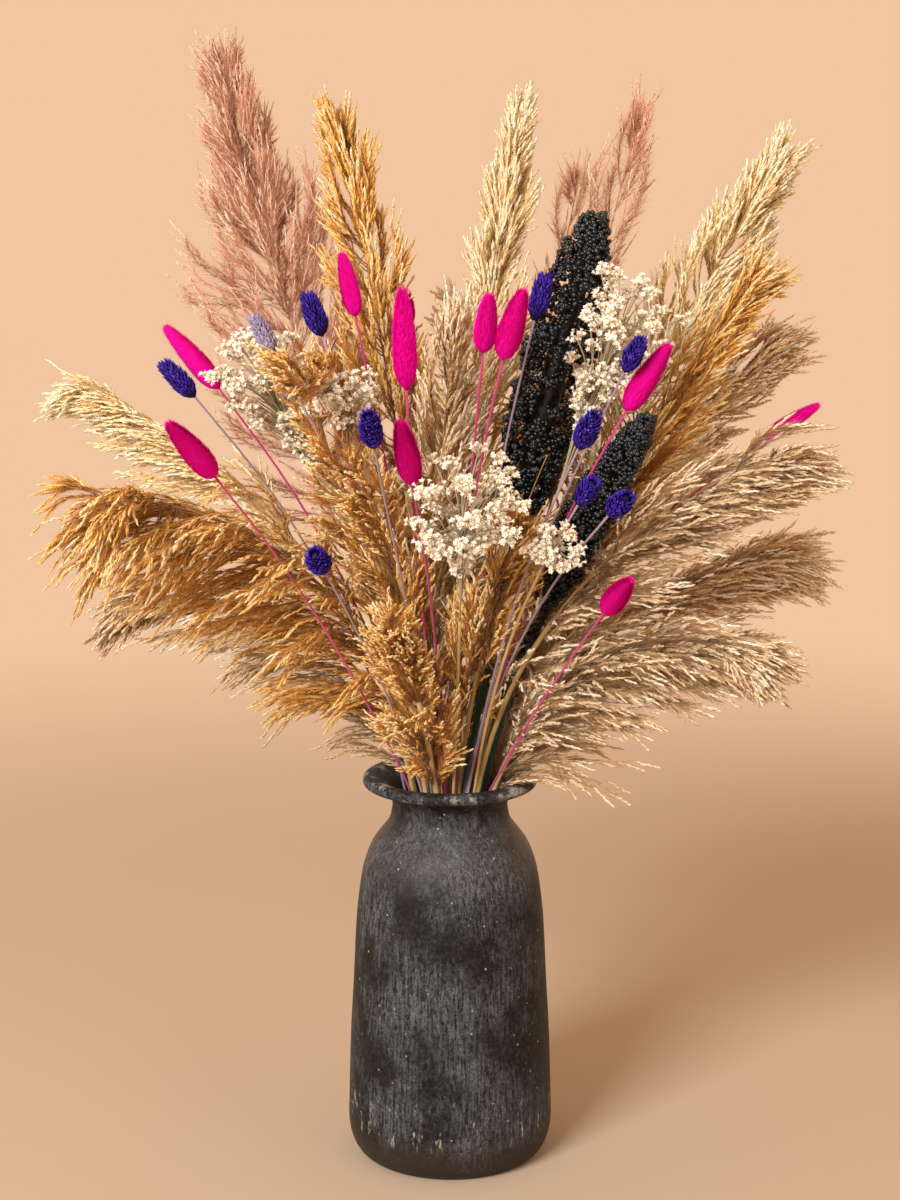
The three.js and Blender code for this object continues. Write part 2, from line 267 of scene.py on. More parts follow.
@dataclass(frozen=True)
class SlipFinish:
    """Low-fired clay under a matte charcoal slip, dusted with a grey wash and rubbed at its edges."""

    name: str = "charcoal slip on clay"
    slip: str = "131211"
    deep: str = "080807"
    dust: str = "6a7078"
    chalk: str = "b9b4aa"
    clay: str = "2f2722"
    height: float = 0.330
    bare_height: float = 0.030
    waver: float = 0.020

    def material(self) -> bpy.types.Material:
        """Builds the node material: slip, grey wash, scratches, specks, chalky lip and bare foot.

        Returns:
            The material.
        """
        nodes = Nodes(self.name)
        noise, span, times, blend = nodes.noise, nodes.span, nodes.times, nodes.blend
        height = nodes.add("ShaderNodeSeparateXYZ", {"Vector": nodes.place}).outputs["Z"]
        cloud = noise(60.0, 6.0, 0.7, 1.3)
        colour = blend(span(noise(30.0, 4.0, 0.6), 0.35, 0.65), self.deep, self.slip)
        # The wash lies in hand-sized clouds, broken by scratches 2 mm wide and by grit under 1 mm.
        scratches = span(noise(2.2, 4.0, 0.75, 12.0), 0.44, 0.58)
        grit = span(noise(0.9, 4.0, 0.85), 0.46, 0.56)
        wash = times(span(cloud, 0.44, 0.58, 0.9), times(scratches, grit))
        veil = times(span(cloud, 0.34, 0.62, 0.4), span(noise(3.0, 5.0, 0.85, 1.4), 0.46, 0.6))
        colour = blend(veil, colour, self.dust)
        colour = blend(wash, colour, self.dust)
        # White specks of lime, about 1.5 mm across and 9 mm apart.
        cells = {"Vector": nodes.place, "Scale": MM_PER_METRE / 9.0}
        lime = nodes.add("ShaderNodeTexVoronoi", cells).outputs["Distance"]
        specks = times(span(lime, 0.12, 0.06), span(noise(20.0), 0.48, 0.6, 0.7))
        colour = blend(specks, colour, self.chalk)
        # The foot is left bare to a wavering line, and the lip and the lower edge are rubbed chalky.
        edge = times(noise(25.0, 3.0, 0.6), self.waver, height)
        bare = span(edge, self.bare_height + self.waver, self.bare_height, 0.8)
        colour = blend(bare, colour, self.clay)
        lip = span(height, self.height - 12 * MM, self.height - 4 * MM)
        rubbed_lip = times(lip, span(noise(24.0, 4.0, 0.7), 0.5, 0.62, 0.6))
        low = times(span(height, 75 * MM, 50 * MM), span(height, 26 * MM, 40 * MM))
        rubbed_low = times(low, span(noise(7.0, 4.0, 0.75, 3.0), 0.6, 0.72))
        colour = blend(rubbed_lip, colour, self.chalk)
        colour = blend(rubbed_low, colour, self.chalk)
        # The shoulder is burnished, so it takes a soft shine that the walls below don't.
        shoulder = times(span(height, 235 * MM, 272 * MM), span(height, 302 * MM, 285 * MM))
        fine = nodes.bump(grit, 0.35, 0.4 * MM)
        inputs = {
            "Base Color": colour,
            "Roughness": times(shoulder, -0.12, span(cloud, 0.35, 0.65, 0.62, 0.42)),
            "IOR": 1.4,
            "Specular IOR Level": span(shoulder, 0.0, 1.0, 0.7, 0.2),
            "Normal": nodes.bump(noise(6.0, 4.0, 0.7, 0.4), 0.35, 1 * MM, Normal=fine),
        }
        return nodes.finished(nodes.skin(inputs))


class Finish(Enum):
    """The finishes that stalks are dressed in."""

    # In the plume finishes the first, darkest colour is painted shade deep inside the head.
    ROSE = DryFinish("dyed rose plume", "8f5c42", "dca585", "f8d4b8", "fff2e0", "f2dccc", glow=0.4)
    GOLD = DryFinish("golden dried plume", "432606", "d69630", "facb62", "fff2c8", "f4e2bc", glow=0.3)
    CREAM = DryFinish("cream dried plume", "9a7032", "f0cf8c", "fff0c0", "fffdee", "faecd8", glow=0.3)
    BROWN = DryFinish("brown dried plume", "4c3018", "d4a870", "f6dcb0", "fff8e8", "f2e4ce", glow=0.3)
    BEIGE = DryFinish("beige dried plume", "463420", "bd9a6a", "f0d4a8", "fff8e6", "f0e0ca", glow=0.3)
    PINK = DryFinish(
        "dyed bunny tail fur", "b00074", "e404a0", "f61cba", "ff6ad8", "f8dcf0", 0.9, 0.0, 0.08, 0.2
    )
    VIOLET = DryFinish("dyed violet bracts", "06021e", "1c0a60", "381c96", "7a60cc", "dccdee", 0.6, 0.0, 0.2)
    LILAC = DryFinish("faded lilac bracts", "4b4259", "786b89", "9b8fa9", "c0b6c8", "d5cfdc", 0.7)
    WHITE = DryFinish("papery white florets", "7c6f42", "e6dabc", "fcf6e8", "ffffff", "f6eddc", 0.7, glow=0.2)
    STRAW = DryFinish("dry straw stem", "6d5527", "a68a4d", "c7ad72", "dcc893", "d2bd93", 0.6)
    MAGENTA = DryFinish("dyed magenta stem", "5f0a38", "9a1459", "b92a74", "cc5a92", "e3b8ce", 0.55)
    MAUVE = DryFinish("dull mauve stem", "5c4a5c", "7f6b7d", "9c8a99", "b3a4ae", "d3c6cf", 0.6)
    TEAL = DryFinish("dyed green stem", "0c1f1c", "17413a", "27594f", "3b6f64", "a9c4bd", 0.5)
    SEED = SeedFinish()

    def material(self) -> bpy.types.Material:
        """The finish's one material, built on first use."""
        return bpy.data.materials.get(self.value.name) or self.value.material()


# ---- Small shapes, and many copies of them ---------------------------------------------------------


def arrays_of(bm: bmesh.types.BMesh, closed: bool = False) -> tuple[np.ndarray, np.ndarray]:
    """Reads a mesh as triangles, and frees it.

    Args:
        bm: The mesh.
        closed: Whether its faces are first turned outwards.

    Returns:
        Its corners, and the numbers of each triangle's three corners.
    """
    bmesh.ops.triangulate(bm, faces=bm.faces[:])
    if closed:
        bmesh.ops.recalc_face_normals(bm, faces=bm.faces[:])
    bm.verts.index_update()
    corners = np.array([v.co[:] for v in bm.verts])
    triangles = np.array([[v.index for v in f.verts] for f in bm.faces])
    bm.free()
    return corners, triangles


def new_object(name: str, data: bpy.types.ID) -> bpy.types.Object:
    """Makes an object at the origin and puts it in the scene.

    Args:
        name: The object's name.
        data: Its mesh, light or camera.

    Returns:
        The object.
    """
    made = bpy.data.objects.new(name, data)
    bpy.context.scene.collection.objects.link(made)
    return made


@dataclass(frozen=True)
class Template:
    """A small shape that is copied many times: its corners, its triangles, and its shading."""

    corners: np.ndarray
    triangles: np.ndarray

    @staticmethod
    def made(build: Callable[[bmesh.types.BMesh], None], closed: bool = True) -> "Template":
        """Runs a function that models the shape in a new bmesh, and keeps the result.

        Args:
            build: Models the shape, with its length along +Z.
            closed: Whether its faces have an outside.

        Returns:
            The finished template.
        """
        bm = bmesh.new()
        build(bm)
        return Template(*arrays_of(bm, closed))


def pod(sides: int, waist: float, width: float, flat: float = 1.0) -> Callable[[bmesh.types.BMesh], None]:
    """A pointed closed pod, one unit long.

    Args:
        sides: How many sides it has.
        waist: Where it is widest, from 0 to 1.
        width: Its widest radius.
        flat: Its depth as a share of its width.

    Returns:
        A function that models it.
    """

    def build(bm: bmesh.types.BMesh) -> None:
        """Draws the waist in a mesh, and pulls it to a point both ways.

        Args:
            bm: The mesh.
        """
        ring = bmesh.ops.create_circle(
            bm, segments=sides, radius=width, matrix=Matrix.Translation((0, 0, waist))
        )["verts"]
        bmesh.ops.scale(bm, vec=(1, flat, 1), verts=ring)
        edges = bm.edges[:]
        for end in (0.0, 1.0):
            pulled = bmesh.ops.extrude_edge_only(bm, edges=edges)["geom"]
            tip = [item for item in pulled if isinstance(item, bmesh.types.BMVert)]
            bmesh.ops.pointmerge(bm, verts=tip, merge_co=(0, 0, end))

    return build


def blade(width: float) -> Callable[[bmesh.types.BMesh], None]:
    """A hair: one flat tapering triangle, one unit long.

    Args:
        width: Its width at its root.

    Returns:
        A function that models it.
    """

    def build(bm: bmesh.types.BMesh) -> None:
        """Draws a triangle in a mesh and stretches its far corner.

        Args:
            bm: The mesh.
        """
        ring = bmesh.ops.create_circle(bm, segments=3, radius=1.0, cap_ends=True)["verts"]
        for vert, place in zip(ring, ((-width / 2, 0, 0), (width / 2, 0, 0), (0, 0, 1))):
            vert.co = place

    return build


def floret(bm: bmesh.types.BMesh) -> None:
    """Models a papery statice floret, one unit tall: a narrow tube that opens to a frilled cup.

    Args:
        bm: The mesh that it is modelled in.
    """
    base = bmesh.ops.create_circle(bm, segments=5, radius=0.12)["verts"]
    edges = bm.edges[:]
    for height, radius in ((0.55, 0.2), (0.9, 0.5)):
        grown = bmesh.ops.extrude_edge_only(bm, edges=edges)["geom"]
        edges = [item for item in grown if isinstance(item, bmesh.types.BMEdge)]
        for vert in [item for item in grown if isinstance(item, bmesh.types.BMVert)]:
            flat = Vector((vert.co.x, vert.co.y, 0)).normalized() * radius
            vert.co = (flat.x, flat.y, height)
    bmesh.ops.contextual_create(bm, geom=base)
    lobes = bmesh.ops.subdivide_edges(bm, edges=edges, cuts=1)["geom_inner"]
    for vert in [item for item in lobes if isinstance(item, bmesh.types.BMVert)]:
        vert.co = (vert.co.x * 0.75, vert.co.y * 0.75, 0.78)


def bead(bm: bmesh.types.BMesh) -> None:
    """A round seed, one unit in radius, a little taller than it is wide."""
    bmesh.ops.create_icosphere(bm, subdivisions=1, radius=1.0)
    bmesh.ops.scale(bm, vec=(1.0, 1.0, 1.12), verts=bm.verts[:])


def unit(vectors: np.ndarray) -> np.ndarray:
    """Vectors scaled to length one."""
    return vectors / np.maximum(np.linalg.norm(vectors, axis=-1, keepdims=True), 1e-12)


def frames_for(along: np.ndarray, spin: np.ndarray) -> np.ndarray:
    """Axes whose third points along, turned about it by spin.

    Args:
        along: Directions, one for each copy.
        spin: Angles in radians, one for each copy.

    Returns:
        A 3 x 3 matrix for each copy, with its axes as columns.
    """
    third = unit(along)
    helper = np.where(np.abs(third[:, 2:3]) > 0.9, [[1.0, 0.0, 0.0]], [[0.0, 0.0, 1.0]])
    first = unit(np.cross(helper, third))
    second = np.cross(third, first)
    cos, sin = np.cos(spin)[:, None], np.sin(spin)[:, None]
    return np.stack([first * cos + second * sin, second * cos - first * sin, third], axis=-1)


@dataclass
class Gathering:
    """Many copies of small shapes, gathered into one piece, with a shade for each corner."""

    corners: list[np.ndarray] = field(default_factory=list)
    triangles: list[np.ndarray] = field(default_factory=list)
    shades: list[np.ndarray] = field(default_factory=list)
    count: int = 0

    def scatter(
        self,
        shape: Template,
        places: np.ndarray,
        along: np.ndarray,
        lengths: np.ndarray,
        widths: np.ndarray,
        root: np.ndarray,
        tip: np.ndarray,
        spin: np.ndarray,
    ) -> None:
        """Places copies of a shape.

        Args:
            shape: The shape, one unit long along +Z.
            places: Where each copy's root is.
            along: The way each copy points.
            lengths: Each copy's length.
            widths: Each copy's scale across.
            root: Each copy's shade at its root.
            tip: Each copy's shade at its tip.
            spin: Each copy's turn about its own length.
        """
        axes = frames_for(along, spin)
        scaled = shape.corners[None] * np.stack([widths, widths, lengths], axis=-1)[:, None]
        moved = np.einsum("nij,nkj->nki", axes, scaled) + places[:, None]
        share = np.clip(shape.corners[:, 2], 0, 1)[None]
        number, size = len(places), len(shape.corners)
        starts = self.count + np.arange(number)[:, None, None] * size
        self.corners.append(moved.reshape(-1, 3))
        self.triangles.append((shape.triangles[None] + starts).reshape(-1, 3))
        self.shades.append((root[:, None] * (1 - share) + tip[:, None] * share).reshape(-1))
        self.count += number * size

    def include(self, bm: bmesh.types.BMesh, shade: float) -> None:
        """Adds a modelled mesh to the piece, and frees it.

        Args:
            bm: The mesh.
            shade: Its one shade.
        """
        corners, triangles = arrays_of(bm)
        self.corners.append(corners)
        self.triangles.append(triangles + self.count)
        self.shades.append(np.full(len(corners), shade))
        self.count += len(corners)

    def piece(self, name: str, finish: Finish) -> bpy.types.Object:
        """Turns the gathering into one smooth-shaded object.

        Args:
            name: The piece's name.
            finish: What it is dressed in.

        Returns:
            The object, at the origin.
        """
        corners = np.concatenate(self.corners).astype(np.float32)
        triangles = np.concatenate(self.triangles).astype(np.int32)
        mesh = bpy.data.meshes.new(name)
        mesh.vertices.add(len(corners))
        mesh.vertices.foreach_set("co", corners.ravel())
        mesh.loops.add(triangles.size)
        mesh.loops.foreach_set("vertex_index", triangles.ravel())
        mesh.polygons.add(len(triangles))
        mesh.polygons.foreach_set("loop_start", np.arange(0, triangles.size, 3, dtype=np.int32))
        mesh.polygons.foreach_set("use_smooth", np.ones(len(triangles), bool))
        mesh.update(calc_edges=True)
        shade = mesh.attributes.new("shade", "FLOAT", "POINT")
        shade.data.foreach_set("value", np.clip(np.concatenate(self.shades), 0, 1).astype(np.float32))
        mesh.materials.append(finish.material())
        return new_object(name, mesh)


def hermite(
    start: np.ndarray, end: np.ndarray, leave: np.ndarray, arrive: np.ndarray, t: np.ndarray
) -> np.ndarray:
    """Points on smooth curves between two ends.

    Args:
        start: Where each curve starts.
        end: Where it ends.
        leave: Its slope at the start.
        arrive: Its slope at the end.
        t: How far along each point is, from 0 to 1.

    Returns:
        The points.
    """
    return (
        (2 * t**3 - 3 * t**2 + 1) * start
        + (t**3 - 2 * t**2 + t) * leave
        + (3 * t**2 - 2 * t**3) * end
        + (t**3 - t**2) * arrive
    )


# ---- The spine of a stalk ----------------------------------------------------------------------------


@dataclass
class Spine:
    """A stalk's centre line and its solid's radius along it, read from the stalk's own solid."""

    points: np.ndarray
    radii: np.ndarray
    head_ring: int

    @staticmethod
    def of(node: str, sides: int = 7, swelling: float = 1.15) -> "Spine":
        """Reads the rings of a stalk's solid, from its foot to its tip.

        Args:
            node: The solid's name.
            sides: How many of the lowest corners are looked at to find the middle of the foot.
            swelling: How much wider than the stem the head's first ring is.

        Returns:
            The spine, with the ring where its head begins.
        """
        bm = bmesh.new()
        bm.from_mesh(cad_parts[node].data)
        bmesh.ops.remove_doubles(bm, verts=bm.verts[:], dist=MERGE_GAP)
        bm.verts.index_update()
        lowest = sorted(bm.verts, key=lambda v: v.co.z)[:sides]
        middle = sum((v.co for v in lowest), Vector()) / len(lowest)
        ring = [min(lowest, key=lambda v: (v.co - middle).length)]
        seen = set(ring)
        points, radii = [], []
        while ring:
            centre = sum((v.co for v in ring), Vector()) / len(ring)
            points.append(centre[:])
            radii.append(sum((v.co - centre).length for v in ring) / len(ring))
            # Sorted by number, so that every run adds them up in the same order.
            onward = {e.other_vert(v) for v in ring for e in v.link_edges} - seen
            ring = sorted(onward, key=lambda v: v.index)
            seen |= onward
        bm.free()
        wide = np.nonzero(np.array(radii) > radii[1] * swelling)[0]
        return Spine(np.array(points), np.array(radii), int(wide[0]) - 1)

    def smooth(self, first: int, last: int, number: int) -> tuple[np.ndarray, np.ndarray]:
        """A smooth line through some of the rings.

        Args:
            first: The first ring.
            last: One past the last ring.
            number: How many points to return.

        Returns:
            The points and their radii, evenly spread along the line.
        """
        points, radii = self.points[first:last], self.radii[first:last]
        along = np.concatenate([[0], np.cumsum(np.linalg.norm(np.diff(points, axis=0), axis=1))])
        slopes = np.gradient(points, along, axis=0)
        at = np.linspace(0, along[-1], number)
        k = np.clip(np.searchsorted(along, at, side="right") - 1, 0, len(along) - 2)
        gap = (along[k + 1] - along[k])[:, None]
        t = (at - along[k])[:, None] / gap
        line = hermite(points[k], points[k + 1], gap * slopes[k], gap * slopes[k + 1], t)
        return line, np.interp(at, along, radii)


@dataclass
class Line:
    """A smooth line with its length, directions and radii, for placing things along it."""

    points: np.ndarray
    radii: np.ndarray

    @property
    def length(self) -> float:
        """How long the line is."""
        return float(np.linalg.norm(np.diff(self.points, axis=0), axis=1).sum())

    def at(self, share: np.ndarray) -> np.ndarray:
        """Points at shares of the line, and straight on past its end.

        Args:
            share: How far along each point is, from 0 at the line's start to 1 at its end.

        Returns:
            The points.
        """
        grid = np.linspace(0, 1, len(self.points))
        inner = np.stack([np.interp(share, grid, self.points[:, k]) for k in range(3)], axis=-1)
        onward = unit(self.points[-1] - self.points[-4]) * self.length
        return inner + onward * np.maximum(share - 1, 0)[:, None]

    def radius(self, share: np.ndarray) -> np.ndarray:
        """Radii at shares of the line."""
        return np.interp(share, np.linspace(0, 1, len(self.radii)), self.radii)

    def along(self, share: np.ndarray) -> np.ndarray:
        """Directions at shares of the line."""
        ahead = np.minimum(share + 0.02, 1.0)
        return unit(self.at(ahead) - self.at(ahead - 0.04))

    def around(self, share: np.ndarray, angle: np.ndarray) -> np.ndarray:
        """Directions square to the line.

        Args:
            share: How far along the line each one starts.
            angle: Its turn about the line; 0 points down and pi points up, as far as they can.

        Returns:
            The directions.
        """
        along = self.along(share)
        down = -UP + 1e-4 * np.array([1.0, 0.3, 0.0])
        first = unit(down - along * (along @ down)[:, None])
        second = np.cross(along, first)
        return first * np.cos(angle)[:, None] + second * np.sin(angle)[:, None]


def tube(points: np.ndarray, radii: Iterable[float], sides: int) -> bmesh.types.BMesh:
    """A closed round tube along a line: rings square to it, bridged one to the next.

    Args:
        points: The line.
        radii: The tube's radius at each point.
        sides: How many sides it has.

    Returns:
        The mesh, which the caller frees.
    """
    bm = bmesh.new()
    ahead = unit(np.gradient(points, axis=0))
    across = unit(np.cross(ahead[0], [0.31, 0.95, 0.05]))
    last = None
    for k, (point, radius) in enumerate(zip(points, radii)):
        across = unit(across - ahead[k] * (across @ ahead[k]))
        other = np.cross(ahead[k], across)
        place = Matrix(np.column_stack([across, other, ahead[k]]).tolist()).to_4x4()
        place.translation = point.tolist()
        ends = k in (0, len(points) - 1)
        made = bmesh.ops.create_circle(bm, segments=sides, radius=float(radius), cap_ends=ends, matrix=place)
        ring = made["verts"]
        edges = list(dict.fromkeys(e for v in ring for e in v.link_edges if e.other_vert(v) in ring))
        if last:
            bmesh.ops.bridge_loops(bm, edges=last + edges)
        last = edges
    bmesh.ops.recalc_face_normals(bm, faces=bm.faces[:])
    return bm


# ---- Stalks ------------------------------------------------------------------------------------------


@dataclass(frozen=True)
class Shapes:
    """The small shapes that every head is made of."""

    spikelet: Template
    bract: Template
    hair: Template
    tuft: Template
    seed: Template
    flower: Template

    @staticmethod
    def made() -> "Shapes":
        """Models each shape once.

        Returns:
            The shapes.
        """
        return Shapes(
            spikelet=Template.made(pod(3, 0.3, 0.5)),
            bract=Template.made(pod(5, 0.45, 0.5, 0.5)),
            hair=Template.made(blade(1.0), closed=False),
            tuft=Template.made(pod(3, 0.12, 0.5)),
            seed=Template.made(bead),
            flower=Template.made(floret, closed=False),
        )


@dataclass
class Stalk:
    """One stalk: a stem and a head, both on the spine of its solid."""

    node: str
    finish: Finish
    stem_finish: Finish
    seed: int
    shapes: Shapes
    stem_share: float = 0.85
    stem_sides: int = 10
    stem_rings: int = 26
    head_rings: int = 60

    def __post_init__(self) -> None:
        """Reads the spine, and starts the stalk's own run of random numbers and its empty head."""
        self.spine = Spine.of(self.node)
        self.rng = np.random.default_rng(self.seed)
        self.parts = Gathering()
        self.head = Line(*self.spine.smooth(self.spine.head_ring, len(self.spine.points), self.head_rings))

    def random(self, low: float, high: float, number: int) -> np.ndarray:
        """Evenly spread random numbers."""
        return self.rng.uniform(low, high, number)

    def spins(self, number: int) -> np.ndarray:
        """Random turns, about a full turn at most."""
        return self.random(0, 6.3, number)

    def build_stem(self) -> bpy.types.Object:
        """Models the stem, thinning into the head, and dresses it.

        Returns:
            The stem.
        """
        points, radii = self.spine.smooth(1, self.spine.head_ring + 1, self.stem_rings)
        shade = 0.35 + 0.3 * self.rng.random()
        stem = Gathering()
        stem.include(tube(points, radii * self.stem_share, self.stem_sides), shade)
        return stem.piece(f"{self.node}_stem", self.stem_finish)

    def add_core(self, share: float, least: float, sides: int, shade: float) -> None:
        """Models the dense heart that shows between a head's small parts.

        Args:
            share: Its radius as a share of the head's.
            least: Its least radius.
            sides: How many sides it has.
            shade: Its one shade.
        """
        radii = np.maximum(self.head.radii[::4] * share, least)
        self.parts.include(tube(self.head.points[::4], radii, sides), shade)

    def cover(
        self,
        shape: Template,
        share: np.ndarray,
        angle: np.ndarray,
        depth: np.ndarray,
        lean: np.ndarray,
        length: np.ndarray,
        width: np.ndarray,
        root: np.ndarray,
        tip: np.ndarray,
    ) -> None:
        """Covers the head with copies of a shape that point to its tip and lean outwards.

        Args:
            shape: The shape.
            share: How far up the head each copy starts, from 0 to 1.
            angle: Where round the head it starts.
            depth: How far out it starts, as a share of the head's radius.
            lean: How far it leans outwards.
            length: Each copy's length.
            width: Its scale across.
            root: Its shade at its root.
            tip: Its shade at its tip.
        """
        out = self.head.around(share, angle)
        place = self.head.at(share) + out * self.head.radius(share)[:, None] * depth[:, None]
        heading = self.head.along(share) + out * lean[:, None]
        self.parts.scatter(shape, place, heading, length, width, root, tip, angle)

    def fill_head(self) -> None:
        """Fills the head; each kind of stalk has its own."""
        raise NotImplementedError

    def build(self) -> None:
        """Builds the stem and the head, which stand for the stalk's solid."""
        stem = self.build_stem()
        self.fill_head()
        head = self.parts.piece(f"{self.node}_head", self.finish)
        for piece in (stem, head):
            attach(piece, "root")
            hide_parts(self.node)
        log.info("%s: %d triangles", self.node, sum(len(p.data.polygons) for p in (stem, head)))


class Habit(Enum):
    """How a plume's branches lie: how far they spread, gather underneath and curl down."""

    UPRIGHT = (0.95, 0.0, 0.12)
    SOFT = (1.0, 0.3, 0.4)
    ARCHING = (0.98, 0.45, 0.6)
    HANGING = (1.0, 0.85, 0.75)

    @property
    def reach(self) -> float:
        """How near the outside its tips come."""
        return self.value[0]

    @property
    def hang(self) -> float:
        """How much its branches gather on the underside."""
        return self.value[1]

    @property
    def droop(self) -> float:
        """How far the tips curl down, as a share of the head's radius."""
        return self.value[2]


@dataclass(frozen=True)
class Growth:
    """How one plume has grown.

    begin is how far up the stalk the head starts. peak is where along the head it is widest, and
    blunt how wide its tip is for that. depth is its depth as a share of its width. stray is the
    share of lobes that stick out, and lobe the number of branches that keep together.
    """

    finish: Finish
    habit: Habit
    begin: float
    half_width: float
    branches: int = 105
    branch_length: float = 95 * MM
    fluff: float = 0.0
    stray: float = 0.08
    peak: float = 0.42
    depth: float = 0.62
    hairs: int = 150
    ears: int = 5
    blunt: float = 0.42
    lobe: int = 3


@dataclass
class Clearing:
    """The room that the small flowers keep round and before them, so that no plume grows over one."""

    centres: np.ndarray
    radii: np.ndarray
    forward: float = 5.0
    backward: float = 0.9

    @staticmethod
    @cache
    def of_flowers(margin: float = 4 * MM, stem_room: float = 12 * MM) -> "Clearing":
        """Reads every flower's head, and the whole length of the sorghum, which nothing crosses.

        Args:
            margin: The room outside each head.
            stem_room: The least room round a sorghum stem.

        Returns:
            The clearing, which is read once.
        """
        centres, radii = [], []
        for node in [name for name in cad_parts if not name.startswith(("plume", "vase"))]:
            spine = Spine.of(node)
            whole = node.startswith("sorghum")
            first, number = (2, 50) if whole else (spine.head_ring, 14)
            points, widths = spine.smooth(first, len(spine.points), number)
            centres.append(points)
            radii.append(np.maximum(widths + margin, stem_room if whole else 0.0))
        return Clearing(np.concatenate(centres), np.concatenate(radii))

    def pushed(self, points: np.ndarray) -> np.ndarray:
        """Moves points out of the clearing, mostly backwards.

        Args:
            points: Points, one in each row.

        Returns:
            The points, each outside every head.
        """
        moved = points.copy()
        for centre, radius in zip(self.centres, self.radii):
            gap = moved - centre
            gap[:, 1] = np.where(gap[:, 1] < 0, gap[:, 1] / self.forward, gap[:, 1])
            near = np.linalg.norm(gap, axis=1) < radius
            if near.any():
                away = unit(gap[near] + np.array([0.0, radius * self.backward, 0.0]))
                moved[near] = centre + away * radius
        return moved


@dataclass
class Plume(Stalk):
    """A pampas or reed plume: branches that leave a thin axis, with hairs and pointed spikelets."""

    growth: Growth | None = None
    ear_length: float = 19 * MM
    ear_spikelets: int = 10
    spikelet_length: float = 8.0 * MM
    spikelet_width: float = 2.5 * MM
    hair_length: float = 14 * MM
    hair_width: float = 0.4 * MM
    strand_width: float = 1.6 * MM
    overhang: float = 14 * MM
    axis_radius: float = 1.6 * MM
    spine_steps: int = 160
    tip_steps: int = 5
    foot_share: float = 0.22

    def __post_init__(self) -> None:
        """Reads the spine, and starts the head lower than the solid's head."""
        super().__post_init__()
        growth = self.growth
        points, _ = self.spine.smooth(2, len(self.spine.points), self.spine_steps)
        kept = points[int(self.spine_steps * growth.begin) : self.spine_steps - self.tip_steps]
        share = np.linspace(0, 1, len(kept))
        up = np.clip(share / growth.peak, 0, 1) * math.pi / 2
        down = np.clip((share - growth.peak) / (1 - growth.peak), 0, 1) * math.pi / 2
        rise = self.foot_share + (1 - self.foot_share) * np.sin(up)
        fall = growth.blunt + (1 - growth.blunt) * np.cos(down)
        self.head = Line(kept, growth.half_width * np.where(share < growth.peak, rise, fall))

    def branch_paths(self, steps: int = 7) -> tuple[np.ndarray, np.ndarray]:
        """Works out where each branch runs: forwards along the head, outwards, then down.

        Args:
            steps: Points along each branch.

        Returns:
            The points of every branch, and the way out from the axis at each.
        """
        habit, n = self.growth.habit, self.growth.branches
        # Neighbouring branches keep together in lobes, with dark gaps between one lobe and the next.
        lobes = n // self.growth.lobe
        lobe = np.arange(n) * lobes // n
        start = np.linspace(0.0, 0.96, lobes)[lobe] ** 0.9 + self.random(-0.025, 0.025, lobes)[lobe]
        start = np.clip(start + self.random(-0.012, 0.012, n), 0, 0.97)
        run = self.growth.branch_length / self.head.length * self.random(0.6, 1.2, lobes)[lobe]
        over = self.overhang / self.head.length * self.random(0, 1, n)
        end = np.minimum(start + run * self.random(0.8, 1.1, n), 1.0 + over)
        angle = (np.arange(lobes) * GOLDEN_ANGLE + self.random(-0.5, 0.5, lobes)) % (2 * math.pi) - math.pi
        gathered = 1 - habit.hang * self.random(0.3, 1.0, lobes)
        angle = (angle * gathered)[lobe] + self.random(-0.25, 0.25, n)
        out = habit.reach * self.random(0.15, 1.0, lobes)[lobe] ** 0.6 * self.random(0.75, 1.08, n)
        out *= 1 + 0.5 * habit.hang * np.cos(angle / 2) ** 4
        out *= np.where(self.random(0, 1, lobes) < self.growth.stray, 1.4, 1.0)[lobe]
        t = np.linspace(0, 1, steps)
        flat = (start[:, None] + (end - start)[:, None] * t[None]).reshape(-1)
        axis = self.head.at(flat).reshape(n, steps, 3)
        limit = self.head.radius(flat).reshape(n, steps)
        outward = self.head.around(flat, np.repeat(angle, steps)).reshape(n, steps, 3)
        side = np.cross(outward, self.head.along(flat).reshape(n, steps, 3))
        growth = (np.sin(t * math.pi / 2) ** 0.9)[None] * out[:, None]
        wave = np.sin(t[None] * 4 + self.random(0, 6, n)[:, None]) * t[None] * 0.08
        offset = outward * (growth * limit)[..., None] + side * (wave * limit)[..., None]
        sag = (t**2.2)[None] * habit.droop * limit * self.random(0.2, 1.0, n)[:, None]
        offset[..., 1] *= self.growth.depth
        offset[..., 2] -= sag
        paths = Clearing.of_flowers().pushed((axis + offset).reshape(-1, 3)).reshape(n, steps, 3)
        return paths, unit(paths - axis + 1e-9)

    def fill_head(self) -> None:
        """Models the axis, the branches, their hairs and their spikelets."""
        axis_points = self.head.points[:: max(1, len(self.head.points) // 24)]
        taper = np.linspace(1.0, 0.2, len(axis_points))
        self.parts.include(tube(axis_points, self.axis_radius * taper, 6), 0.3)
        self.add_strands(*self.branch_paths())

    def add_strands(self, paths: np.ndarray, outward: np.ndarray) -> None:
        """Models the branches, with their hairs and ears.

        Args:
            paths: The branches.
            outward: The way out from the axis, at each of their points.
        """
        count, steps, _ = paths.shape
        gaps = (paths[:, 1:] - paths[:, :-1]).reshape(-1, 3)
        # Painted shade: each strand's shade rises from 0.1 at the axis to 0.5 at its end, so strands deep
        # inside the head are darker.
        level = np.tile(np.linspace(0.1, 0.5, steps - 1), count)
        self.parts.scatter(
            self.shapes.tuft,
            paths[:, :-1].reshape(-1, 3),
            gaps,
            np.linalg.norm(gaps, axis=-1) * 1.35,
            np.full(len(gaps), self.strand_width * (1 - 0.6 * self.growth.fluff)),
            level,
            level + 0.12,
            self.spins(len(gaps)),
        )
        self.add_hairs(paths)
        self.add_ears(paths, outward)

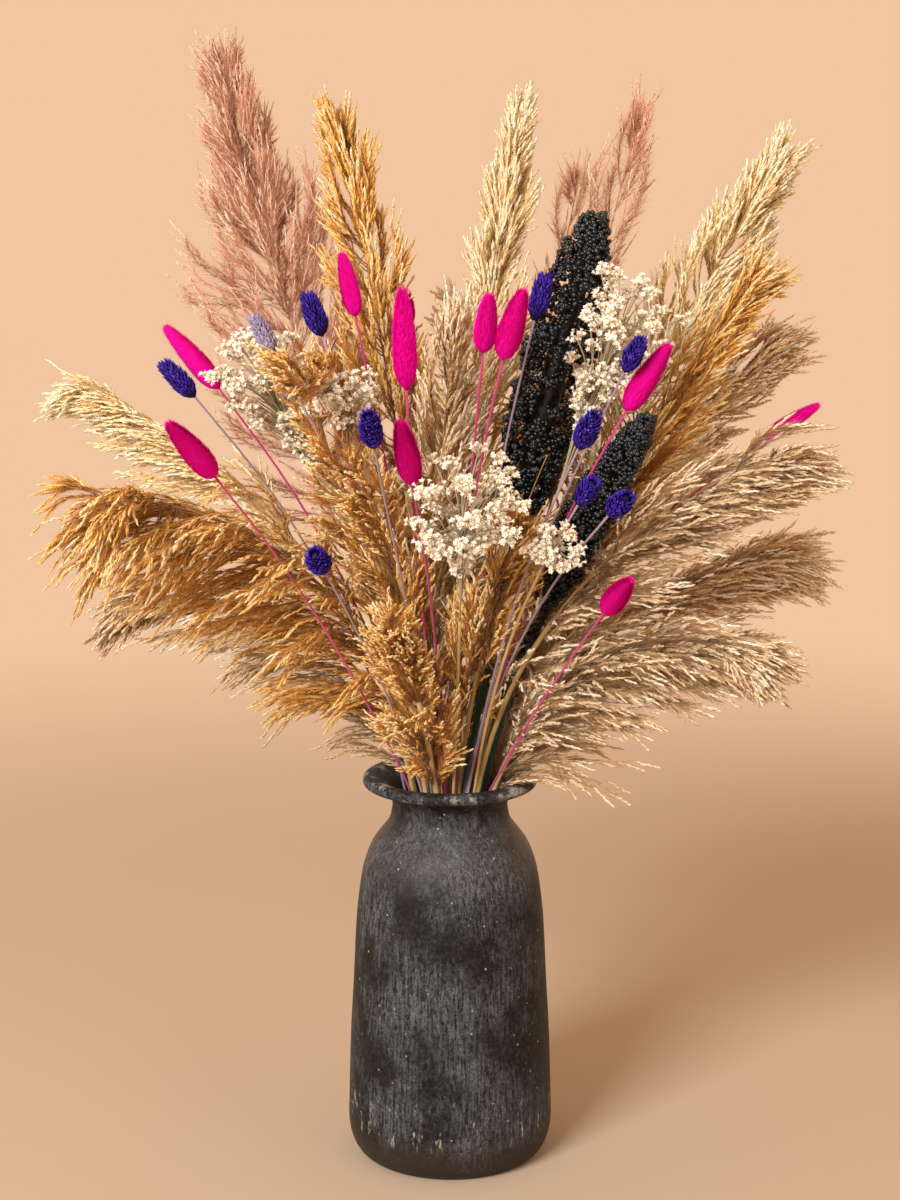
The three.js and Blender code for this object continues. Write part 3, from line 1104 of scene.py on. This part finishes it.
    @staticmethod
    def along_paths(lines: np.ndarray, branch: np.ndarray, t: np.ndarray) -> np.ndarray:
        """Values part of the way along the branches.

        Args:
            lines: A run of points or directions for each branch.
            branch: Which branch each value is on.
            t: How far along it, from 0 to 1.

        Returns:
            The values.
        """
        where = t * (lines.shape[1] - 1)
        k = np.minimum(where.astype(int), lines.shape[1] - 2)
        part = (where - k)[:, None]
        return lines[branch, k] * (1 - part) + lines[branch, k + 1] * part

    def across(self, along: np.ndarray) -> np.ndarray:
        """A random direction square to each direction given."""
        scatter = self.rng.normal(0, 1, along.shape)
        return unit(scatter - along * np.sum(scatter * along, axis=-1, keepdims=True))

    def add_hairs(self, paths: np.ndarray) -> None:
        """Sets silky hairs along the branches, longest at mid-branch.

        Args:
            paths: The branches.
        """
        growth = self.growth
        number = len(paths) * growth.hairs
        branch = np.repeat(np.arange(len(paths)), growth.hairs)
        t = 0.03 + 0.97 * self.random(0, 1, number) ** 0.85
        along = unit(self.along_paths(np.diff(paths, axis=1), branch, t))
        slant = self.random(0.08, 0.5, number) + growth.fluff * self.random(0, 0.9, number)
        heading = along + self.across(along) * slant[:, None]
        heading[:, 2] -= growth.habit.droop * 0.15
        swell = 0.5 + 0.65 * np.sin(math.pi * t**1.15)
        tone = self.random(-0.14, 0.14, len(paths))[branch] + self.random(-0.12, 0.12, number)
        # Painted shade: hairs near the axis and at their roots take darker shades, for the shade inside the
        # head; their paler tips are their own colour.
        self.parts.scatter(
            self.shapes.hair,
            self.along_paths(paths, branch, t),
            heading,
            self.hair_length * self.random(0.5, 1.25, number) * swell,
            self.hair_width * self.random(0.6, 1.4, number) * (1 - 0.25 * growth.fluff),
            0.05 + 0.25 * t + tone,
            0.32 + 0.35 * t**1.5 + tone,
            self.spins(number),
        )

    def add_ears(self, paths: np.ndarray, outward: np.ndarray) -> None:
        """Sets pointed ears of spikelets along the outer part of each branch, and one at its end.

        Args:
            paths: The branches.
            outward: The way out from the axis, at each of their points.
        """
        growth, each = self.growth, self.ear_spikelets
        number = len(paths) * growth.ears
        branch = np.repeat(np.arange(len(paths)), growth.ears)
        t = np.tile(np.linspace(0.25, 1.0, growth.ears), len(paths))
        t = np.clip(t + self.random(-0.07, 0.02, number), 0, 1)
        along = unit(self.along_paths(np.diff(paths, axis=1), branch, t))
        lean = self.along_paths(outward, branch, t) * self.random(0.05, 0.5, number)[:, None]
        heading = unit(along + lean + self.across(along) * 0.12 - UP * growth.habit.droop * 0.25)
        place = self.along_paths(paths, branch, t)
        length = self.ear_length * self.random(0.7, 1.3, number) * (0.75 + 0.35 * t)
        tone = self.random(-0.2, 0.2, number) + self.random(-0.1, 0.1, len(paths))[branch]
        ear = np.repeat(np.arange(number), each)
        total = number * each
        up = np.tile(np.linspace(0.0, 0.85, each), number)
        spread = self.across(heading[ear]) * (self.random(0.08, 0.32, total) * (1 - 0.55 * up))[:, None]
        # Painted shade: ears near the axis are darker and ears further out paler, for the shade inside the
        # head; each spikelet's near-white tip is its own colour.
        pale = 0.28 + 0.27 * t[ear] + tone[ear]
        self.parts.scatter(
            self.shapes.spikelet,
            place[ear] + heading[ear] * (length[ear] * up)[:, None],
            heading[ear] + spread,
            self.spikelet_length * self.random(0.75, 1.2, total) * (1.1 - 0.35 * up),
            self.spikelet_width * self.random(0.7, 1.15, total) * (1 - 0.5 * growth.fluff),
            pale + 0.15 * up,
            pale + 0.55,
            self.spins(total),
        )


@dataclass
class BunnyTail(Stalk):
    """A bunny tail: an egg of short soft fur that all points to its tip."""

    hairs: int = 7600
    hair_length: float = 5.5 * MM
    hair_width: float = 0.55 * MM
    core_share: float = 0.8

    def fill_head(self) -> None:
        """Models the dense heart and its fur."""
        self.add_core(self.core_share, 0.4 * MM, 20, 0.42)
        n = self.hairs
        share = self.random(0, 0.97, n)
        angle = self.random(0, 2 * math.pi, n)
        depth = self.random(0.72, 0.86, n)
        lean = self.random(0.05, 0.4, n)
        length = self.hair_length * self.random(0.5, 1.1, n)
        root = self.random(0.25, 0.5, n)
        width = self.hair_width * self.random(0.7, 1.3, n)
        tip = root + self.random(0.1, 0.35, n)
        self.cover(self.shapes.hair, share, angle, depth, lean, length, width, root, tip)


@dataclass
class CanaryHead(Stalk):
    """A canary grass head: flat pointed bracts that overlap in spirals up a tight egg."""

    bracts: int = 190
    bract_length: float = 7.5 * MM
    bract_width: float = 3.2 * MM
    bract_depth: float = 0.66
    core_share: float = 0.72

    def fill_head(self) -> None:
        """Models the heart and its bracts."""
        self.add_core(self.core_share, 0.4 * MM, 16, 0.12)
        n = self.bracts
        share = np.linspace(0.0, 0.9, n)
        angle = np.arange(n) * GOLDEN_ANGLE + self.random(-0.1, 0.1, n)
        depth = np.full(n, self.bract_depth)
        lean = self.random(0.25, 0.6, n)
        root = self.random(0.15, 0.6, n)
        length = self.bract_length * self.random(0.85, 1.15, n)
        width = np.full(n, self.bract_width)
        tip = root + self.random(0.1, 0.4, n)
        self.cover(self.shapes.bract, share, angle, depth, lean, length, width, root, tip)


@dataclass
class StaticeSpray(Stalk):
    """A statice spray: stiff branches that fork to clusters of papery florets."""

    clusters: int = 84
    florets: int = 16
    spread: float = 1.25
    cluster_radius: float = 8.0 * MM
    floret_size: float = 4.6 * MM
    branch_radius: float = 0.55 * MM
    full_length: float = 120 * MM
    full_radius: float = 42 * MM

    def fill_head(self) -> None:
        """Models the branches, and the florets with their green roots."""
        size = self.head.length / self.full_length * self.head.radii.max() / self.full_radius
        n = int(self.clusters * min(1.0, size + 0.1))
        share = 0.35 + 0.65 * self.random(0, 1, n) ** 0.8
        far = np.sqrt(self.random(0.1, 1.0, n))
        out = self.head.around(share, np.arange(n) * GOLDEN_ANGLE)
        ends = self.head.at(share) + out * (self.head.radius(share) * far * self.spread)[:, None]
        forks = np.maximum(share - self.random(0.3, 0.5, n), 0.0)
        starts = self.head.at(forks)
        t = np.linspace(0, 1, 6)[:, None]
        for start, end, direction in zip(starts, ends, self.head.along(forks)):
            middle = start + direction * np.linalg.norm(end - start) * 0.55
            path = start * (1 - t) ** 2 + middle * 2 * t * (1 - t) + end * t**2
            self.parts.include(tube(path, np.full(6, self.branch_radius), 5), 0.12)
        self.parts.include(tube(self.head.points[:50:7], np.full(8, self.branch_radius * 1.3), 6), 0.1)
        total = n * self.florets
        cluster = np.repeat(np.arange(n), self.florets)
        spread = unit(self.rng.normal(0, 1, (total, 3)))
        spread *= (self.cluster_radius * self.random(0.2, 1.0, total))[:, None]
        spread[:, 2] *= 0.7
        heading = unit(ends - starts)[cluster] * 0.8 + unit(spread) + UP * 0.3
        shade = self.random(0.45, 0.7, total)
        self.parts.scatter(
            self.shapes.flower,
            ends[cluster] + spread - unit(heading) * self.floret_size * 0.5,
            heading,
            self.floret_size * self.random(0.8, 1.15, total),
            self.floret_size * self.random(0.8, 1.2, total),
            shade - 0.35,
            shade + 0.35,
            self.spins(total),
        )


@dataclass
class SorghumHead(Stalk):
    """A sorghum head: round seeds in knobbly bunches, packed round the top of a stout stem."""

    bunches: int = 200
    bunch_seeds: int = 24
    bunch_radius: float = 9.0 * MM
    seed_radius: float = 2.1 * MM
    core_share: float = 0.34

    def fill_head(self) -> None:
        """Models the dark heart and the seeds, bunch by bunch."""
        self.add_core(self.core_share, 0.6 * MM, 18, 0.0)
        n = self.bunches
        share = np.clip(np.linspace(0.0, 0.97, n) + self.random(-0.01, 0.01, n), 0, 1)
        angle = np.arange(n) * GOLDEN_ANGLE + self.random(-0.25, 0.25, n)
        limit = self.head.radius(share)
        reach = np.minimum(self.bunch_radius, limit * 0.6) * self.random(0.8, 1.15, n)
        out = self.head.around(share, angle)
        centres = self.head.at(share) + out * (limit * self.random(0.96, 1.2, n) - reach)[:, None]
        total = n * self.bunch_seeds
        bunch = np.repeat(np.arange(n), self.bunch_seeds)
        facing = unit(self.rng.normal(0, 1, (total, 3)) + out[bunch] * 1.1)
        place = centres[bunch] + facing * (reach[bunch] * self.random(0.75, 1.05, total))[:, None]
        size = self.seed_radius * self.random(0.8, 1.12, total)
        shade = self.random(0.0, 1.0, total)
        seed = self.shapes.seed
        self.parts.scatter(seed, place, facing, size, size, shade, shade, self.spins(total))


@dataclass
class DrapedTuft(Plume):
    """A few dry branches that hang over the vase's lip, low on a plume's stem."""

    start: tuple[float, float, float] = (0.042, -0.03, 0.338)
    over: tuple[float, float, float] = (0.072, -0.045, 0.366)
    end: tuple[float, float, float] = (0.094, -0.052, 0.346)
    spray: float = 10 * MM

    def branch_paths(self, steps: int = 7) -> tuple[np.ndarray, np.ndarray]:
        """Bends each branch from the neck over the lip, and spreads their ends.

        Args:
            steps: Points along each branch.

        Returns:
            The points of every branch, and the way up from each.
        """
        n = self.growth.branches
        t = np.linspace(0, 1, steps)[None, :, None]
        ends = np.array(self.end) + self.rng.normal(0, 1, (n, 1, 3)) * self.spray * 0.6
        tops = np.array(self.over) + self.rng.normal(0, 1, (n, 1, 3)) * self.spray * 0.35
        paths = np.array(self.start) * (1 - t) ** 2 + tops * 2 * t * (1 - t) + ends * t**2
        return paths, np.broadcast_to(UP, paths.shape)

    def build(self) -> None:
        """Builds the tuft alone, without a stem."""
        self.add_strands(*self.branch_paths())
        tuft = self.parts.piece("draped_tuft", self.finish)
        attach(tuft, "root")
        log.info("draped_tuft: %d triangles", len(tuft.data.polygons))


# ---- The vase ------------------------------------------------------------------------------------------


@dataclass
class Vase:
    """A hand-thrown bellied vase with a narrow neck and a wide rolled lip."""

    height: float = 0.330
    base_radius: float = 0.070
    heel_height: float = 0.032
    belly_radius: float = 0.0865
    neck_radius: float = 0.048
    neck_height: float = 0.304
    lip_radius: float = 0.073
    lip_thickness: float = 0.009
    mouth_radius: float = 0.063
    wall: float = 0.0065
    floor: float = 0.010
    turns: int = 144
    # How far up the side and how far in towards the neck each point lies, both from 0 to 1.
    side: tuple[tuple[float, float], ...] = (
        (0, 0), (0.25, 0.05), (0.45, 0.13), (0.64, 0.2), (0.77, 0.31), (0.83, 0.41), (0.88, 0.55),
        (0.92, 0.75), (0.955, 0.93), (1, 1),
    )

    def outside(self) -> Profile:
        """Draws the outside, from the middle of the base to the rolled lip.

        Returns:
            Its points, as radius and height.
        """
        quarter = np.linspace(0, math.pi / 2, 9)
        swell = self.belly_radius - self.base_radius
        heel = [
            (self.base_radius + swell * math.sin(a), self.heel_height * (1 - math.cos(a))) for a in quarter
        ]
        roll = self.lip_thickness / 2
        edge = self.lip_radius - roll
        wide, tall = edge - self.neck_radius, self.height - self.lip_thickness - self.neck_height
        flare = [
            (self.neck_radius + wide * (1 - math.cos(a)), self.neck_height + tall * math.sin(a))
            for a in quarter[1:]
        ]
        lip = [
            (edge + roll * math.sin(a), self.height - roll - roll * math.cos(a))
            for a in np.linspace(0, math.pi, 11)[1:]
        ]
        return [(0.0, 0.0), *heel, *self.side_line()[1:], *flare, *lip]

    def side_line(self) -> Profile:
        """Draws the side, from the heel to the neck.

        Returns:
            Its points, as radius and height.
        """
        rise = self.neck_height - self.heel_height
        slim = self.neck_radius - self.belly_radius
        foot, belly = self.heel_height, self.belly_radius
        return self.curve([(belly + inward * slim, foot + up * rise) for up, inward in self.side], 55)

    def inside(self) -> Profile:
        """Draws the inside, from the mouth down to the middle of the floor.

        Returns:
            Its points, as radius and height.
        """
        deep = self.height - self.neck_height
        narrow = self.neck_radius - self.wall
        gap = self.mouth_radius - narrow
        throat = [
            (self.mouth_radius, self.height),
            (narrow + 0.57 * gap, self.height - 0.27 * deep),
            (narrow + 0.17 * gap, self.height - 0.65 * deep),
            (narrow, self.neck_height),
        ]
        side = np.array(self.side_line())
        ahead = unit(side[2:] - side[:-2])
        within = side[1:-1] + np.stack([-ahead[:, 1], ahead[:, 0]], axis=-1) * self.wall
        wide = [(float(r), float(z)) for r, z in within[::-1] if z > self.floor + self.wall]
        return [*self.curve(throat, 10), *wide, (wide[-1][0] - self.wall, self.floor), (0.0, self.floor)]

    @staticmethod
    def curve(marks: Profile, number: int) -> Profile:
        """A smooth line through marks, with the same knots for every gap.

        Args:
            marks: The points that it goes through.
            number: How many points to return.

        Returns:
            Points along it, as radius and height.
        """
        knots = np.array(marks)
        slopes = np.gradient(knots, axis=0)
        slopes[[0, -1]] /= 2
        at = np.linspace(0, len(knots) - 1, number)
        k = np.minimum(at.astype(int), len(knots) - 2)
        points = hermite(knots[k], knots[k + 1], slopes[k], slopes[k + 1], (at - k)[:, None])
        return [(float(r), float(z)) for r, z in points]

    def build(self) -> bpy.types.Object:
        """Turns the profile on a wheel and dresses the vase.

        Returns:
            The vase.
        """
        bm = bmesh.new()
        profile = [bm.verts.new((r, 0.0, z)) for r, z in (*self.outside(), *self.inside())]
        edges = [bm.edges.new(pair) for pair in zip(profile, profile[1:])]
        wheel = {"axis": (0, 0, 1), "cent": (0, 0, 0), "angle": 2 * math.pi, "steps": self.turns}
        bmesh.ops.spin(bm, geom=profile + edges, use_merge=True, **wheel)
        bmesh.ops.remove_doubles(bm, verts=bm.verts[:], dist=MERGE_GAP)
        bmesh.ops.recalc_face_normals(bm, faces=bm.faces[:])
        for face in bm.faces:
            face.smooth = True
        mesh = bpy.data.meshes.new("vase_body")
        bm.to_mesh(mesh)
        bm.free()
        mesh.materials.append(SlipFinish(height=self.height).material())
        piece = new_object("vase_body", mesh)
        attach(piece, "root")
        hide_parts("vase")
        log.info("vase: %d faces", len(mesh.polygons))
        return piece


# ---- The studio ------------------------------------------------------------------------------------------


@dataclass
class Studio:
    """A pale floor that fades out into a plain peach surround, soft lamps and the camera."""

    floor_colour: str = "b5a490"
    surround: str = "f1c6a1"
    floor_radius: float = 2.4
    fade_from: float = 0.75
    camera_place: tuple[float, float, float] = (0.0, -2.0, 0.87)
    camera_dip: float = 11.1
    lens_mm: float = 74.2
    sensor_mm: float = 36.0
    lamp_target: tuple[float, float, float] = (0.0, 0.0, 0.5)
    lamp_width: float = 1.8

    def floor_material(self) -> bpy.types.Material:
        """Matte paper, which fades out with its distance from the object.

        Returns:
            The material.
        """
        nodes = Nodes("matte pale paper")
        away = nodes.add("ShaderNodeVectorMath", {0: nodes.place}, operation="LENGTH").outputs["Value"]
        inputs = {"Value": away, "From Min": self.fade_from, "From Max": self.floor_radius * 0.95}
        fade = nodes.add("ShaderNodeMapRange", inputs, interpolation_type="SMOOTHSTEP").outputs["Result"]
        paper = nodes.skin({"Base Color": self.floor_colour, "Roughness": 0.9, "Specular IOR Level": 0.1})
        clear = nodes.add("ShaderNodeBsdfTransparent").outputs["BSDF"]
        return nodes.finished(nodes.add("ShaderNodeMixShader", {0: fade, 1: paper, 2: clear}).outputs[0])

    def build_floor(self) -> None:
        """Models a flat round floor."""
        bm = bmesh.new()
        bmesh.ops.create_circle(bm, segments=96, radius=self.floor_radius, cap_ends=True)
        mesh = bpy.data.meshes.new("paper_floor")
        bm.to_mesh(mesh)
        bm.free()
        mesh.materials.append(self.floor_material())
        new_object("paper_floor", mesh)

    def build_lamp(self, name: str, place: Sequence[float], watts: float, tint: str) -> None:
        """Adds a soft square lamp that faces the bunch.

        Args:
            name: The lamp's name.
            place: Where it stands.
            watts: Its power.
            tint: Its colour.
        """
        light = bpy.data.lights.new(name, "AREA")
        light.energy = watts
        light.size = self.lamp_width
        light.color = linear(tint)[:3]
        lamp = new_object(name, light)
        lamp.location = place
        heading = Vector(self.lamp_target) - Vector(place)
        lamp.rotation_euler = heading.to_track_quat("-Z", "Y").to_euler()

    def build_camera(self) -> None:
        """Adds the camera at its viewing height, tipped down a little."""
        data = bpy.data.cameras.new("camera")
        data.lens = self.lens_mm
        data.sensor_width = self.sensor_mm
        camera = new_object("camera", data)
        camera.location = self.camera_place
        camera.rotation_euler = (math.radians(90 - self.camera_dip), 0, 0)
        bpy.context.scene.camera = camera

    def build(self) -> None:
        """Builds the floor, the lamps, the surround and the camera."""
        self.build_floor()
        self.build_lamp("key_lamp", (-2.2, -3.7, 2.6), 330, "fffdfa")
        self.build_lamp("fill_lamp", (2.4, -2.4, 1.2), 16, "fffaf4")
        world = bpy.data.worlds.new("plain surround")
        world.use_nodes = True
        background = world.node_tree.nodes["Background"]
        background.inputs["Color"].default_value = linear(self.surround)
        background.inputs["Strength"].default_value = 1.0
        bpy.context.scene.world = world
        bpy.context.scene.view_settings.view_transform = "Standard"
        self.build_camera()
        log.info("studio: floor, 2 lamps, camera")


# ---- Putting it together ---------------------------------------------------------------------------------


TUFT_SEED = 99
PLUMES = {
    "plume_rose_tall": Growth(
        Finish.ROSE, Habit.UPRIGHT, 0.33, 92 * MM, 310, 80 * MM, 1.0, 0.1, 0.2, hairs=230, blunt=0.2
    ),
    "plume_rose_right_back": Growth(
        Finish.ROSE, Habit.UPRIGHT, 0.4, 52 * MM, 66, 85 * MM, 1.1, 0.12, hairs=150, ears=3, blunt=0.25
    ),
    "plume_rose_mid_back": Growth(
        Finish.ROSE, Habit.UPRIGHT, 0.42, 36 * MM, 42, 80 * MM, 1.2, hairs=150, ears=3
    ),
    "plume_rose_left_back": Growth(
        Finish.ROSE, Habit.SOFT, 0.35, 46 * MM, 75, 90 * MM, 1.0, hairs=220, ears=3
    ),
    "plume_gold_left_back": Growth(
        Finish.GOLD, Habit.UPRIGHT, 0.22, 54 * MM, 180, 75 * MM, 0.1, 0.12, 0.45, blunt=0.28
    ),
    "plume_gold_right": Growth(Finish.GOLD, Habit.SOFT, 0.2, 34 * MM, 105, fluff=0.2),
    "plume_gold_front_right": Growth(Finish.GOLD, Habit.SOFT, 0.02, 34 * MM, 115, fluff=0.3, hairs=200),
    "plume_gold_diagonal": Growth(Finish.GOLD, Habit.SOFT, 0.02, 42 * MM, 160, fluff=0.3, hairs=200),
    "plume_big_left": Growth(
        Finish.GOLD, Habit.ARCHING, 0.08, 74 * MM, 264, 115 * MM, 0.25, 0.04, hairs=160, blunt=0.55, lobe=4
    ),
    "plume_gold_front_left": Growth(Finish.GOLD, Habit.SOFT, 0.05, 34 * MM, 90, 70 * MM, 0.3, hairs=200),
    "plume_gold_back_right": Growth(Finish.GOLD, Habit.SOFT, 0.2, 46 * MM, 84),
    "plume_cream_centre": Growth(
        Finish.CREAM, Habit.UPRIGHT, 0.2, 62 * MM, 204, 70 * MM, 0.0, 0.04, 0.25, ears=6, blunt=0.1, lobe=2
    ),
    "plume_cream_right": Growth(
        Finish.CREAM, Habit.UPRIGHT, 0.3, 66 * MM, 214, 70 * MM, 0.0, 0.04, 0.35, ears=6, blunt=0.18
    ),
    "plume_upper_left": Growth(Finish.CREAM, Habit.ARCHING, 0.42, 42 * MM, 120, 90 * MM, blunt=0.42),
    "plume_brown_right": Growth(Finish.BROWN, Habit.SOFT, 0.15, 46 * MM, 125),
    "plume_fan_middle": Growth(Finish.BROWN, Habit.SOFT, 0.03, 58 * MM, 165, 110 * MM, 0.1, hairs=160),
    "plume_brown_middle": Growth(Finish.BROWN, Habit.SOFT, 0.03, 46 * MM, 120),
    "plume_brown_back": Growth(Finish.BROWN, Habit.SOFT, 0.15, 54 * MM, 84),
    "plume_fan_upper": Growth(Finish.BEIGE, Habit.SOFT, 0.1, 54 * MM, 162, 110 * MM, 0.1, hairs=160),
    "plume_fan_low": Growth(Finish.BEIGE, Habit.SOFT, 0.02, 54 * MM, 162, 110 * MM, 0.1, hairs=160),
    "plume_low_left": Growth(Finish.BEIGE, Habit.HANGING, 0.02, 44 * MM, 117, 110 * MM),
}


def stalks() -> list[Stalk]:
    """Lists every stalk in the order of its node's name, and the draped tuft last.

    Returns:
        The stalks, each with its own seed.
    """
    made: list[Stalk] = []
    shapes = Shapes.made()
    for seed, node in enumerate(sorted(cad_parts)):
        if node.startswith("plume"):
            made.append(Plume(node, PLUMES[node].finish, Finish.STRAW, seed, shapes, growth=PLUMES[node]))
        elif node.startswith("tail"):
            made.append(BunnyTail(node, Finish.PINK, Finish.MAGENTA, seed, shapes))
        elif node.startswith("canary"):
            finish = Finish.LILAC if "pale" in node else Finish.VIOLET
            made.append(CanaryHead(node, finish, Finish.MAUVE, seed, shapes))
        elif node.startswith("statice"):
            made.append(StaticeSpray(node, Finish.WHITE, Finish.STRAW, seed, shapes))
        elif node.startswith("sorghum"):
            made.append(SorghumHead(node, Finish.SEED, Finish.TEAL, seed, shapes))
    growth = Growth(Finish.BEIGE, Habit.SOFT, 0.1, 20 * MM, 9, hairs=120, ears=4)
    made.append(DrapedTuft("plume_fan_low", growth.finish, Finish.STRAW, TUFT_SEED, shapes, growth=growth))
    return made


def main() -> None:
    """Builds the vase, every stalk and the studio, in that order."""
    logging.basicConfig(level=logging.INFO, format="%(message)s")
    Vase().build()
    for stalk in stalks():
        stalk.build()
    Studio().build()


if __name__ == "__main__":
    main()
